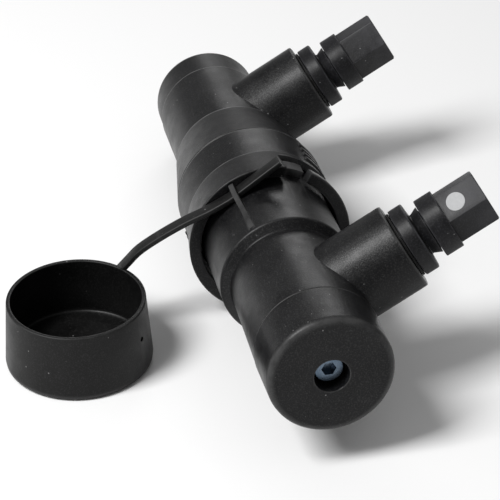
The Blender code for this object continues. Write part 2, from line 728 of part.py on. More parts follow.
def main():
    shell = material("black_polyamide", (0.022, 0.022, 0.024), 0.5)
    rubber = material("black_rubber", (0.018, 0.018, 0.018), 0.75)
    flexible = material("strap_rubber", (0.025, 0.025, 0.026), 0.55)
    insulator = material("grey_insulator", (0.35, 0.36, 0.37), 0.45)
    brass = material("plated_brass", (0.75, 0.62, 0.36), 0.3, 1.0)
    steel = material("blued_steel", (0.42, 0.5, 0.58), 0.3, 1.0)
    inlay = material("light_grey_inlay", (0.4, 0.41, 0.42), 0.55)

    made = {}

    def use(finish, *objects):
        made.update({obj: finish for obj in objects})

    use(shell, plug_housing(), socket_housing(), coupling_ring())
    use(steel, ring_clip())
    use(rubber, face_gasket(), nose_seal())
    carrier, pin = plug_contact()
    tower, contact, band = socket_contact()
    use(insulator, carrier, tower)
    use(brass, pin, contact, band)
    for half in (PLUG, SOCKET):
        cap, seal = end_cap(half)
        terminal, pad, screw = clamp(half)
        body, gasket, grommet, thrust, nut = gland(half)
        use(shell, cap, body, thrust, nut)
        use(rubber, seal, gasket, grommet)
        use(brass, terminal)
        use(steel, pad, screw)
        if half is PLUG:
            use(inlay, nut_marker(nut, half))
    use(flexible, strap("strap_tail", STRAP_TAIL, STRAP_HINGE))
    use(flexible, strap("cap_strap", STRAP_SPAN, STRAP_HINGE))
    use(flexible, dust_cap())

    bpy.context.view_layer.update()
    for obj, finish in made.items():
        freeze(obj)
        obj.data.materials.clear()
        obj.data.materials.append(finish)
    centre_on_floor(made)


clear_scene()
PARTS = collection("cable_coupler")
CUTTERS = collection("cutters")
REST = add_object("rest_frame", None, PARTS)
COUPLER = empty("coupler_frame", REST, (0, 0, AXIS_HEIGHT))
COUPLER.rotation_euler = (0, TILT, 0)
STRAP_HINGE = empty("strap_hinge", COUPLER, STRAP_BEND)
CAP_HINGE = empty("cap_hinge", REST)
bpy.context.view_layer.update()
CAP_HINGE.location = COUPLER.matrix_world @ (Vector(CAP_BEND) * MM)
main()
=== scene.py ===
import json
import math

import bmesh
import bpy
from mathutils import Matrix, Vector


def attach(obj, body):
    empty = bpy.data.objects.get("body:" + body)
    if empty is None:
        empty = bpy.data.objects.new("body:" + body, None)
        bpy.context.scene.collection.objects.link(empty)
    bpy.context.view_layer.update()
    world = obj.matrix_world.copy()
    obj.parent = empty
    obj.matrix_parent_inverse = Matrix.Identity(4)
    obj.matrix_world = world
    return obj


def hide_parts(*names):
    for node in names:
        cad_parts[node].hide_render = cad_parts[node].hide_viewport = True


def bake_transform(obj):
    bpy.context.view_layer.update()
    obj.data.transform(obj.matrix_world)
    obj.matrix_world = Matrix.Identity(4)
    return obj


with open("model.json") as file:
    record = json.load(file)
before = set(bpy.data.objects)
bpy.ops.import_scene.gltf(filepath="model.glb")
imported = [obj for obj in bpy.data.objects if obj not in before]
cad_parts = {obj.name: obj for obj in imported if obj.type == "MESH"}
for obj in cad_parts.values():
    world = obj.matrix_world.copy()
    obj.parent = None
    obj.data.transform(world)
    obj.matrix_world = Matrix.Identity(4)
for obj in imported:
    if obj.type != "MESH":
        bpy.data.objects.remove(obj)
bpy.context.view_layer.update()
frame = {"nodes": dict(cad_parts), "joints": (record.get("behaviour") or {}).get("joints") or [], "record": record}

# Lengths below are millimetres unless a line says otherwise. Stations run along the main axis
# from the plug half's end face, or outwards along a side gland's axis.
MM = 0.001
STEPS = 96
FILLET_STEPS = 3
SUPPORT = 0.3

# ------------------------------------------------------------------ places from the record

JOINTS = {joint["name"]: joint for joint in frame["joints"]}
MOUNTS = {mount["name"]: mount for mount in frame["record"]["mounts"]}

AXIS = -Vector(JOINTS["plug_pull"]["axis"])
BRANCH = Vector(JOINTS["plug_nut_travel"]["axis"])
SIDE = Vector((0, 1, 0))
UP = AXIS.cross(SIDE)
RING_PIVOT_STATION = 100
START = Vector(JOINTS["ring_turn"]["pos_m"]) - AXIS * RING_PIVOT_STATION * MM
LENGTH = (Vector(MOUNTS["socket_end_face"]["pos_m"]) - Vector(MOUNTS["plug_end_face"]["pos_m"])).length / MM


def basis(origin, along, across):
    """Turns local millimetres into the row frame: local Z along, local X across."""
    z = along.normalized()
    y = z.cross(across).normalized()
    turn = Matrix((y.cross(z), y, z)).transposed().to_4x4()
    return Matrix.Translation(origin) @ turn @ Matrix.Scale(MM, 4)


COUPLER = Matrix.Translation(START) @ Matrix((AXIS, SIDE, UP)).transposed().to_4x4() @ Matrix.Scale(MM, 4)
MAIN = basis(START, AXIS, UP)


class Half:
    """Places and sizes that differ between the two halves."""

    def __init__(self, name, face, inwards, cap_radius, cap_length, cap_edge, chamber, gland, nut_angle):
        self.name = name
        self.body = name + "_half"
        self.cap_radius = cap_radius
        self.cap_length = cap_length
        self.cap_edge = cap_edge
        self.chamber = chamber
        self.gland = gland
        self.end = basis(START + AXIS * face * MM, AXIS * inwards, UP)
        root = START + AXIS * (face + inwards * gland) * MM
        self.branch = basis(root, BRANCH, AXIS)
        angle = math.radians(nut_angle)
        across = AXIS * math.cos(angle) + BRANCH.cross(AXIS) * math.sin(angle)
        self.nut = basis(root, BRANCH, across)


PLUG = Half("plug", 0.0, 1, 19.6, 18.2, 2.4, 17.1, 38.5, 125.6)
SOCKET = Half("socket", LENGTH, -1, 18.3, 13.5, 2.0, 15.9, 34.0, 139.6)

# ------------------------------------------------------------------ camera, floor and light

LENS = 156.6
CAMERA_OFFSET = Vector((-491.0, 125.6, 383.2))
CAMERA_AIM = Vector((0.81405, -0.16848, -0.55582))
CAMERA_ROLL = math.radians(-0.8)


def add(name, data):
    obj = bpy.data.objects.new(name, data)
    bpy.context.scene.collection.objects.link(obj)
    return obj


def make_camera():
    data = bpy.data.cameras.new("camera")
    data.lens = LENS
    data.clip_start = 0.01
    camera = add("camera", data)
    camera.location = START + CAMERA_OFFSET * MM
    turn = CAMERA_AIM.to_track_quat("-Z", "Y").to_matrix() @ Matrix.Rotation(CAMERA_ROLL, 3, "Z")
    camera.rotation_euler = turn.to_euler()
    bpy.context.scene.camera = camera


def area_light(name, spot, aim, size, power):
    data = bpy.data.lights.new(name, "AREA")
    data.shape = "RECTANGLE"
    data.size, data.size_y = size
    data.energy = power
    light = add(name, data)
    light.location = spot
    light.rotation_euler = (Vector(aim) - Vector(spot)).to_track_quat("-Z", "Y").to_euler()


def make_studio():
    floor_mesh = bpy.data.meshes.new("floor")
    work = bmesh.new()
    bmesh.ops.create_circle(work, cap_ends=True, segments=96, radius=6.0)
    work.to_mesh(floor_mesh)
    work.free()
    floor = add("floor", floor_mesh)
    floor_look = bpy.data.materials.new("pale_floor")
    floor_look.use_nodes = True
    shader = floor_look.node_tree.nodes["Principled BSDF"]
    shader.inputs["Base Color"].default_value = (0.9, 0.9, 0.9, 1)
    shader.inputs["Roughness"].default_value = 0.9
    shader.inputs["Specular IOR Level"].default_value = 0.1
    floor_mesh.materials.append(floor_look)

    world = bpy.data.worlds.new("studio")
    world.use_nodes = True
    background = world.node_tree.nodes["Background"]
    background.inputs["Color"].default_value = (1, 1, 1, 1)
    background.inputs["Strength"].default_value = 0.26
    bpy.context.scene.world = world
    bpy.context.scene.view_settings.view_transform = "Standard"
    area_light("key_left", (-0.20, 0.58, 0.85), (0, 0, 0.02), (0.34, 0.44), 11.5)
    area_light("far_top", (0.95, -0.28, 0.55), (0, 0, 0.02), (0.5, 0.3), 2.0)


make_camera()
make_studio()

# ------------------------------------------------------------------ materials


class Look:
    """A Principled material that is built up from procedural nodes in object coordinates."""

    def __init__(self, name, roughness=0.5, metallic=0.0, specular=0.5):
        self.material = bpy.data.materials.new(name)
        self.material.use_nodes = True
        self.tree = self.material.node_tree
        self.shader = self.tree.nodes["Principled BSDF"]
        self.shader.inputs["Roughness"].default_value = roughness
        self.shader.inputs["Metallic"].default_value = metallic
        self.shader.inputs["Specular IOR Level"].default_value = specular
        self.place = self.tree.nodes.new("ShaderNodeTexCoord").outputs["Object"]

    def node(self, kind, **values):
        made = self.tree.nodes.new(kind)
        for key, value in values.items():
            setattr(made, key, value)
        return made

    def feed(self, socket, value):
        if isinstance(value, bpy.types.NodeSocket):
            self.tree.links.new(value, socket)
        else:
            socket.default_value = value

    def noise(self, size_mm, detail=3.0, stretch=(1, 1, 1), shift=0.0):
        """Noise whose features are about size_mm across, from 0 to 1."""
        mapping = self.node("ShaderNodeMapping")
        self.feed(mapping.inputs["Vector"], self.place)
        mapping.inputs["Location"].default_value = (shift, shift * 0.7, shift * 1.3)
        mapping.inputs["Scale"].default_value = stretch
        texture = self.node("ShaderNodeTexNoise")
        self.feed(texture.inputs["Vector"], mapping.outputs["Vector"])
        texture.inputs["Scale"].default_value = 1 / (size_mm * MM)
        texture.inputs["Detail"].default_value = detail
        return texture.outputs["Fac"]

    def cells(self, size_mm):
        """Distance to the middle of the nearest random cell, in cells."""
        texture = self.node("ShaderNodeTexVoronoi")
        self.feed(texture.inputs["Vector"], self.place)
        texture.inputs["Scale"].default_value = 1 / (size_mm * MM)
        return texture.outputs["Distance"]

    def remap(self, value, low, high, to_low=0.0, to_high=1.0):
        made = self.node("ShaderNodeMapRange", clamp=True)
        self.feed(made.inputs["Value"], value)
        for name, number in (("From Min", low), ("From Max", high), ("To Min", to_low), ("To Max", to_high)):
            made.inputs[name].default_value = number
        return made.outputs["Result"]

    def math(self, operation, a, b):
        made = self.node("ShaderNodeMath", operation=operation)
        self.feed(made.inputs[0], a)
        self.feed(made.inputs[1], b)
        return made.outputs["Value"]

    def mix(self, factor, a, b):
        made = self.node("ShaderNodeMix", data_type="RGBA")
        self.feed(made.inputs["Factor"], factor)
        for socket, colour in ((made.inputs[6], a), (made.inputs[7], b)):
            self.feed(socket, colour if isinstance(colour, bpy.types.NodeSocket) else (*colour, 1))
        return made.outputs[2]

    def attribute(self, name):
        return self.node("ShaderNodeAttribute", attribute_name=name).outputs["Fac"]

    def bump(self, *layers):
        """Layers of (height from 0 to 1, depth in mm)."""
        normal = None
        for height, depth in layers:
            made = self.node("ShaderNodeBump")
            self.feed(made.inputs["Height"], height)
            made.inputs["Distance"].default_value = depth * MM
            if normal is not None:
                self.feed(made.inputs["Normal"], normal)
            normal = made.outputs["Normal"]
        self.feed(self.shader.inputs["Normal"], normal)

    def colour(self, value):
        self.feed(self.shader.inputs["Base Color"], value)

    def roughness(self, value):
        self.feed(self.shader.inputs["Roughness"], value)


def moulded(name, dark, light, rough, grain, dust_and_edge_sheen, specular):
    """Black moulding: fine eroded grain, cloudy handling marks, scuffs, specks, edges paler from wear and painted
    highlight, painted highlight lines at seams, painted highlight stripe on side tubes.
    """
    look = Look(name, specular=specular)
    cloud = look.noise(14, 4, shift=0.4)
    patch = look.noise(4.5, 5, shift=2.0)
    fine = look.noise(0.45, 2)
    scuffs = look.remap(look.noise(3.2, 3, (1, 9, 9), 1.0), 0.64, 0.72)
    scuffs = look.math("MULTIPLY", scuffs, look.remap(cloud, 0.42, 0.58))
    specks = look.remap(look.cells(3.4), 0.05, 0.08, 1, 0)
    specks = look.math("MULTIPLY", specks, look.remap(patch, 0.50, 0.55))
    # Painted highlight: pale lines at the seams and steps given for each piece.
    highlight_seams = look.math("MULTIPLY", look.attribute("painted_seam_highlight"), look.remap(patch, 0.35, 0.6, 0.4, 0.9))
    # Painted highlight: speckled pale stripe along the top of the side tubes.
    painted_tube_highlight = look.math("MULTIPLY", look.attribute("painted_tube_highlight"), look.remap(look.noise(0.28, 3), 0.46, 0.66))
    # Edges: real wear, also painted paler as an edge highlight.
    edges = look.math("MULTIPLY", look.attribute("edge"), look.remap(patch, 0.3, 0.6, 0.35, 1.0))
    base = look.mix(look.remap(cloud, 0.35, 0.68), dark, light)
    base = look.mix(look.math("MULTIPLY", look.remap(fine, 0.5, 0.75), 0.35), base, dust_and_edge_sheen)
    base = look.mix(look.math("MULTIPLY", scuffs, 0.55), base, dust_and_edge_sheen)
    base = look.mix(look.math("MULTIPLY", edges, 0.6), base, dust_and_edge_sheen)
    base = look.mix(look.math("MULTIPLY", specks, 0.8), base, (0.22, 0.22, 0.22))
    base = look.mix(highlight_seams, base, (0.15, 0.15, 0.15))
    base = look.mix(look.math("MULTIPLY", painted_tube_highlight, 0.55), base, (0.11, 0.11, 0.11))
    look.colour(base)
    varied = look.remap(look.math("ADD", look.math("MULTIPLY", cloud, 0.6), look.math("MULTIPLY", patch, 0.4)),
                        0.36, 0.62, rough - 0.07, rough + 0.08)
    look.roughness(varied)
    look.bump((fine, grain), (patch, 0.05))
    return look.material


def metal(name, colour, tint, rough, spin):
    """Turned metal: fine tool lines across the spin axis and a faint cloudy tint."""
    look = Look(name, metallic=1.0)
    lines = look.noise(0.35, 2, spin)
    cloud = look.noise(6, 3, shift=0.8)
    look.colour(look.mix(look.remap(cloud, 0.35, 0.65), colour, tint))
    look.roughness(look.remap(lines, 0.3, 0.7, rough - 0.06, rough + 0.1))
    look.bump((lines, 0.012))
    return look.material


def insulator():
    look = Look("grey_insulator", specular=0.45)
    cloud = look.noise(7, 3)
    fine = look.noise(0.3, 2)
    look.colour(look.mix(look.remap(cloud, 0.3, 0.7), (0.30, 0.31, 0.32), (0.37, 0.38, 0.39)))
    look.roughness(look.remap(cloud, 0.3, 0.7, 0.36, 0.48))
    look.bump((fine, 0.012))
    return look.material


def inlay():
    look = Look("light_grey_inlay")
    patch = look.noise(1.4, 4)
    fine = look.noise(0.25, 2)
    # Edges: real wear, also painted paler as an edge highlight.
    edges = look.attribute("edge")
    base = look.mix(look.remap(patch, 0.3, 0.7), (0.35, 0.355, 0.36), (0.42, 0.425, 0.43))
    look.colour(look.mix(look.math("MULTIPLY", edges, 0.25), base, (0.5, 0.5, 0.5)))
    look.roughness(look.remap(patch, 0.3, 0.7, 0.5, 0.62))
    look.bump((fine, 0.01))
    return look.material


POLYAMIDE = moulded("moulded_polyamide", (0.004, 0.004, 0.0045), (0.009, 0.009, 0.0095), 0.36, 0.035,
                    (0.07, 0.07, 0.07), 0.19)
NUT_PLASTIC = moulded("nut_polyamide", (0.006, 0.006, 0.0065), (0.011, 0.011, 0.0125), 0.42, 0.02,
                      (0.06, 0.06, 0.065), 0.19)
RUBBER = moulded("seal_rubber", (0.008, 0.008, 0.008), (0.012, 0.012, 0.012), 0.66, 0.02,
                 (0.04, 0.04, 0.04), 0.25)
STRAP_RUBBER = moulded("strap_elastomer", (0.003, 0.003, 0.003), (0.006, 0.006, 0.006), 0.42, 0.015,
                       (0.04, 0.04, 0.04), 0.21)
INSULATOR = insulator()
BRASS = metal("plated_brass", (0.72, 0.6, 0.34), (0.62, 0.5, 0.28), 0.26, (6, 1, 1))
STEEL = metal("blued_steel", (0.15, 0.19, 0.24), (0.09, 0.13, 0.18), 0.3, (6, 1, 1))
INLAY = inlay()

# ------------------------------------------------------------------ mesh tools


def rounded(outline):
    """A closed (station, radius, fillet) outline with each filleted corner drawn as an arc."""
    points = []
    for i, (station, radius, *fillet) in enumerate(outline):
        corner = Vector((station, radius))
        if not fillet:
            points.append(corner)
            continue
        before = Vector(outline[i - 1][:2]) - corner
        after = Vector(outline[(i + 1) % len(outline)][:2]) - corner
        reach = fillet[0] / math.tan(before.angle(after) / 2)
        reach = min(reach, before.length * 0.49, after.length * 0.49)
        start = corner + before.normalized() * reach
        end = corner + after.normalized() * reach
        if before.length > 3 * SUPPORT:
            points.append(start + before.normalized() * min(SUPPORT, before.length * 0.25))
        for step in range(FILLET_STEPS + 1):
            u = step / FILLET_STEPS
            points.append(start * (1 - u) ** 2 + corner * 2 * u * (1 - u) + end * u * u)
        if after.length > 3 * SUPPORT:
            points.append(end + after.normalized() * min(SUPPORT, after.length * 0.25))
    return points


def lathe(name, outline, frame_matrix, steps=STEPS):
    """A closed turned body from a closed outline, in the row frame."""
    mesh = bpy.data.meshes.new(name)
    work = bmesh.new()
    verts = [work.verts.new((point.y, 0, point.x)) for point in rounded(outline)]
    edges = [work.edges.new(pair) for pair in zip(verts, verts[1:] + verts[:1])]
    bmesh.ops.spin(work, geom=verts + edges, axis=(0, 0, 1), cent=(0, 0, 0), angle=2 * math.pi,
                   steps=steps, use_merge=True)
    bmesh.ops.remove_doubles(work, verts=work.verts, dist=1e-4)
    bmesh.ops.dissolve_degenerate(work, edges=work.edges, dist=1e-5)
    bmesh.ops.recalc_face_normals(work, faces=work.faces)
    work.to_mesh(mesh)
    work.free()
    mesh.transform(frame_matrix)
    return add(name, mesh)


def rod(outline):
    return [(outline[0][0], 0.0), *outline, (outline[-1][0], 0.0)]


def prism(name, outline, low, high, frame_matrix):
    """A closed body from a 2D outline in local X and Y, between two heights along local Z."""
    mesh = bpy.data.meshes.new(name)
    work = bmesh.new()
    bottom = work.faces.new([work.verts.new((x, y, low)) for x, y in outline])
    top = bmesh.ops.extrude_face_region(work, geom=[bottom])["geom"]
    moved = [item for item in top if isinstance(item, bmesh.types.BMVert)]
    bmesh.ops.translate(work, verts=moved, vec=(0, 0, high - low))
    bmesh.ops.recalc_face_normals(work, faces=work.faces)
    work.to_mesh(mesh)
    work.free()
    mesh.transform(frame_matrix)
    return add(name, mesh)


def sector(name, radii, sweep, stations):
    """A block between two radii and two stations, swept in degrees over the top from -Y."""
    first, last = sweep
    steps = max(3, round((last - first) / 3))
    angles = [math.radians(first + (last - first) * i / steps) for i in range(steps + 1)]
    points = [(math.sin(a) * radii[1], math.cos(a) * radii[1]) for a in angles]
    points += [(math.sin(a) * radii[0], math.cos(a) * radii[0]) for a in reversed(angles)]
    return prism(name, points, *stations, MAIN)


def combine(target, other, operation):
    """Joins other to target, or cuts it away, and removes other."""
    change = target.modifiers.new("change", "BOOLEAN")
    change.object = other
    change.operation = operation
    change.solver = "EXACT"
    bpy.context.view_layer.update()
    evaluated = target.evaluated_get(bpy.context.evaluated_depsgraph_get())
    mesh = bpy.data.meshes.new_from_object(evaluated)
    target.modifiers.clear()
    target.data = mesh
    bpy.data.objects.remove(other, do_unlink=True)
    return target


def soften(obj, width, angle=40):
    """Rounds the sharp edges that are left after cutting."""
    work = bmesh.new()
    work.from_mesh(obj.data)
    sharp = [edge for edge in work.edges
             if len(edge.link_faces) == 2 and edge.calc_face_angle() > math.radians(angle)]
    bmesh.ops.bevel(work, geom=sharp, offset=width * MM, segments=2, profile=0.6,
                    affect="EDGES", clamp_overlap=True)
    work.to_mesh(obj.data)
    work.free()
    return obj


# Surface direction on which the side tubes get a painted highlight stripe.
HIGHLIGHT_SIDE = Vector((-0.53, 0.40, 0.75))
# Bend angles over which edges turn pale: real wear and painted edge highlight.
EDGE_LOW = math.radians(9)
EDGE_HIGH = math.radians(32)
# Reach of the painted highlight lines at the seams.
SEAM_HIGHLIGHT_REACH = 0.3
MERGE_REACH = 0.01 * MM


def merge_close(mesh):
    """Clears the slivers that cutting and rounding leave."""
    work = bmesh.new()
    work.from_mesh(mesh)
    bmesh.ops.remove_doubles(work, verts=work.verts, dist=MERGE_REACH)
    bmesh.ops.dissolve_degenerate(work, edges=work.edges, dist=MERGE_REACH)
    work.to_mesh(mesh)
    work.free()


def mark_edges(mesh, highlight_seams):
    """Writes how strongly each point lies on an outer edge, worn and painted pale as an edge highlight, or on a
    seam painted pale as a highlight line, for the materials.
    """
    work = bmesh.new()
    work.from_mesh(mesh)
    work.verts.ensure_lookup_table()
    values = [0.0] * len(work.verts)
    for edge in work.edges:
        if len(edge.link_faces) != 2:
            continue
        bend = edge.calc_face_angle_signed(0.0)
        worn = min(max((bend - EDGE_LOW) / (EDGE_HIGH - EDGE_LOW), 0.0), 1.0)
        for vert in edge.verts:
            values[vert.index] = max(values[vert.index], worn)
    work.free()
    attribute = mesh.attributes.new("edge", "FLOAT", "POINT")
    attribute.data.foreach_set("value", values)
    to_local = MAIN.inverted()
    local = [to_local @ vert.co for vert in mesh.vertices]
    values = [float(any(abs(spot.z - station) < SEAM_HIGHLIGHT_REACH and spot.xy.length > radius
                        for station, radius in highlight_seams)) for spot in local]
    attribute = mesh.attributes.new("painted_seam_highlight", "FLOAT", "POINT")
    attribute.data.foreach_set("value", values)


def mark_tube_highlight(mesh, half):
    """Writes where the painted highlight stripe lies along the top of the half's side tube."""
    to_local = half.branch.inverted()
    top = (to_local.to_3x3() @ HIGHLIGHT_SIDE).normalized()
    values = []
    for vert in mesh.vertices:
        spot = to_local @ vert.co
        across = Vector((spot.x, spot.y, 0))
        on_tube = abs(across.length - TUBE_RADIUS) < 0.3 and spot.z > 12
        facing = across.normalized().dot(top) if on_tube else 0.0
        values.append(min(max((facing - 0.90) / 0.09, 0.0), 1.0))
    attribute = mesh.attributes.new("painted_tube_highlight", "FLOAT", "POINT")
    attribute.data.foreach_set("value", values)


def dress(obj, finish, *nodes, body=None, highlight_seams=()):
    """Smooth shading, wear and painted highlight marks, material and its place in the frame."""
    mesh = obj.data
    merge_close(mesh)
    mark_edges(mesh, highlight_seams)
    mesh.shade_smooth()
    mesh.set_sharp_from_angle(angle=math.radians(38))
    mesh.materials.clear()
    mesh.materials.append(finish)
    obj.name = nodes[0] + "_detail" if nodes else obj.name
    if nodes:
        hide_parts(*nodes)
    if body:
        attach(obj, body)
    return obj


# ------------------------------------------------------------------ pieces

# Coupling ring
RIM_STATION, RIM_RADIUS = 83.1, 26.7
CREASE_STATION, CREASE_RADIUS = 98.7, 24.6
RING_END, RING_RADIUS, RING_BORE = 116.3, 24.4, 22.7
SLOT_STATIONS = (87.1, 95.0)
SLOT_SWEEP = (22.0, 77.5)
SLOT_MOUTH = (58.0, 77.0)
CLIP_STATIONS = (103.6, 105.6)
CLIP_GROOVE = (21.4, 23.7)
GRIP_START, GRIP_PITCH, GRIP_WIDTH = 101.5, 3.4, 1.4
GRIP_SWEEP = (23, 48)

# Plug half
BARREL_RADIUS = 21.6
NOSE_START, NOSE_END, NOSE_RADIUS = 97.0, 117.0, 20.2
LUG_SWEEP, LUG_STATIONS, LUG_RADIUS = (59.5, 74.5), (87.4, 92.6), 24.3
HOOK_ANGLE, HOOK_WIDTH = 119.5, 1.6

# End caps
ACCESS_RADIUS = 5.4

# Side glands
TUBE_RADIUS, TUBE_END, TUBE_BORE = 14.1, 36.9, 9.0
FLANGE_START, FLANGE_END, FLANGE_RADIUS = 38.0, 42.7, 11.3
NUT_FLATS, NUT_END = 16.0, 65.8
COLLAR_START, COLLAR_END, COLLAR_RADIUS = 46.3, 52.4, 9.8


def cut_by_floor(obj):
    """Leaves the flat on which the coupler lies."""
    half_size = 200
    corners = [(x, y) for x, y in ((-1, -1), (1, -1), (1, 1), (-1, 1))]
    outline = [(x * half_size, y * half_size) for x, y in corners]
    return combine(obj, prism("floor_cut", outline, -30, 0, Matrix.Scale(MM, 4)), "DIFFERENCE")


def add_side_tube(half, housing):
    """The side gland's tube with its inner edge step, and its bore."""
    lip = [(8, 0), (8, TUBE_RADIUS), (TUBE_END, TUBE_RADIUS, 0.8), (TUBE_END, 0)]
    combine(housing, lathe("tube", lip, half.branch, 72), "UNION")
    return lathe("tube_bore", rod([(6, TUBE_BORE), (TUBE_END + 1, TUBE_BORE)]), half.branch, 72)


def make_plug_housing():
    start = PLUG.cap_length + 0.3
    outline = rod([
        (start, 19.45, 0.3), (56.1, 18.62, 0.9), (58.2, BARREL_RADIUS, 0.9), (NOSE_START, BARREL_RADIUS, 0.4),
        (NOSE_START, NOSE_RADIUS), (108.0, NOSE_RADIUS, 0.2), (108.0, 18.9, 0.2), (110.4, 18.9, 0.2),
        (110.4, NOSE_RADIUS, 0.2), (NOSE_END, NOSE_RADIUS, 0.8),
    ])
    housing = lathe("plug_housing", outline, MAIN)
    bore = add_side_tube(PLUG, housing)
    for turn in (0, 180):
        sweep = [angle + turn for angle in LUG_SWEEP]
        combine(housing, sector("lug", (BARREL_RADIUS - 0.6, LUG_RADIUS), sweep, LUG_STATIONS), "UNION")
    foot = BARREL_RADIUS - 0.5
    rib = [(60.0, foot), (76.9, foot), (76.9, 24.6), (82.5, 24.6), (82.5, 25.7), (82.1, 26.1), (75.5, 26.1),
           (72.0, 24.7), (68.0, 23.0), (63.0, 21.9), (60.0, BARREL_RADIUS + 0.1)]
    angle = math.radians(HOOK_ANGLE)
    radial = SIDE * -math.cos(angle) + UP * math.sin(angle)
    hook_frame = basis(START, AXIS.cross(radial), AXIS)
    combine(housing, prism("hook", rib, -HOOK_WIDTH / 2, HOOK_WIDTH / 2, hook_frame), "UNION")
    soften(housing, 0.22)
    inside = rod([(start - 1, PLUG.chamber), (60.3, PLUG.chamber), (60.3, 10.0), (63.3, 10.0),
                  (63.3, 17.4), (NOSE_END + 1, 17.4)])
    combine(housing, lathe("inside", inside, MAIN), "DIFFERENCE")
    combine(housing, bore, "DIFFERENCE")
    # Painted highlight stripe along the top of the side tube.
    mark_tube_highlight(housing.data, PLUG)
    dress(housing, POLYAMIDE, "plug_housing", body=PLUG.body)


def make_socket_housing():
    end = LENGTH - SOCKET.cap_length - 0.3
    low, high = CLIP_STATIONS
    outline = rod([
        (99.0, 22.4, 0.4), (low, 22.4), (low, CLIP_GROOVE[0]), (high, CLIP_GROOVE[0]), (high, 22.4),
        (116.6, 22.4), (116.6, RING_RADIUS, 0.3), (141.2, 20.32), (142.2, 20.15, 0.3), (142.2, 18.6, 0.5),
        (end, 18.6, 0.4),
    ])
    housing = lathe("socket_housing", outline, MAIN)
    bore = add_side_tube(SOCKET, housing)
    soften(housing, 0.22)
    inside = rod([(98, 20.5), (118.5, 20.5), (118.5, 14.3), (122.0, 14.3), (122.0, SOCKET.chamber),
                  (end + 1, SOCKET.chamber)])
    combine(housing, lathe("inside", inside, MAIN), "DIFFERENCE")
    combine(housing, bore, "DIFFERENCE")
    cut_by_floor(housing)
    # Painted highlight stripe along the top of the side tube.
    mark_tube_highlight(housing.data, SOCKET)
    # Stations and radii of the painted highlight lines.
    highlight_seams = [(141.9, 19.8), (end - 0.2, 18)]
    dress(housing, POLYAMIDE, "socket_housing", body=SOCKET.body, highlight_seams=highlight_seams)


def make_ring():
    low, high = CLIP_STATIONS
    outline = [
        (RIM_STATION, RIM_RADIUS, 0.5), (CREASE_STATION, CREASE_RADIUS, 0.15),
        (CREASE_STATION + 0.3, RING_RADIUS, 0.15), (RING_END, RING_RADIUS, 0.3), (RING_END, RING_BORE, 0.2),
        (high, RING_BORE), (high, CLIP_GROOVE[1]), (low, CLIP_GROOVE[1]), (low, RING_BORE),
        (RIM_STATION, RING_BORE, 0.5),
    ]
    ring = lathe("coupling_ring", outline, MAIN)
    radii = (RING_BORE - 1, RIM_RADIUS + 2)
    grip_radii = (RING_RADIUS - 0.4, RING_RADIUS + 0.65)
    for turn in (0, 180):
        for index in range(4):
            station = GRIP_START + GRIP_PITCH * index
            sweep = [angle + turn for angle in GRIP_SWEEP]
            combine(ring, sector("grip", grip_radii, sweep, (station, station + GRIP_WIDTH)), "UNION")
        run = [angle + turn for angle in SLOT_SWEEP]
        mouth = [angle + turn for angle in SLOT_MOUTH]
        combine(ring, sector("slot_run", radii, run, SLOT_STATIONS), "DIFFERENCE")
        entry = (RIM_STATION - 1, SLOT_STATIONS[1] - 2)
        combine(ring, sector("slot_mouth", radii, mouth, entry), "DIFFERENCE")
    soften(ring, 0.25)
    cut_by_floor(ring)
    # Stations and radii of the painted highlight lines.
    highlight_seams = [(CREASE_STATION + 0.15, 24), (RING_END - 0.2, 24)]
    dress(ring, POLYAMIDE, "coupling_ring", body="ring", highlight_seams=highlight_seams)


def make_end_cap(half):
    """Plug with a hole for the driver of the clamping screw, sealed in the housing's end."""
    radius, length, edge = half.cap_radius, half.cap_length, half.cap_edge
    spigot = half.chamber - 0.3
    groove = spigot - 1.4
    outline = [
        (0, ACCESS_RADIUS, 0.35), (0, radius - edge * 0.1, edge * 0.9), (length, radius, 0.25), (length, spigot),
        (length + 2.4, spigot), (length + 2.4, groove), (length + 4.6, groove), (length + 4.6, spigot),
        (length + 8, spigot, 0.4), (length + 8, ACCESS_RADIUS, 0.3),
    ]
    cap = lathe(half.name + "_end_cap", outline, half.end)
    dress(cap, POLYAMIDE, half.name + "_end_cap", body=half.body)


def make_gland_body(half):
    outline = [
        (24.0, 8.7, 0.3), (FLANGE_START, 8.7), (FLANGE_START, FLANGE_RADIUS, 0.4),
        (FLANGE_END, FLANGE_RADIUS, 0.6), (FLANGE_END + 0.3, 6.6, 0.5), (46.0, 8.0, 0.15), (46.0, 6.5),
        (57.0, 6.5, 0.3), (57.0, 5.4), (47.0, 5.4), (47.0, 3.7), (24.0, 3.7),
    ]
    body = lathe(half.name + "_gland_body", outline, half.branch, 72)
    dress(body, NUT_PLASTIC, half.name + "_gland_body", body=half.body)


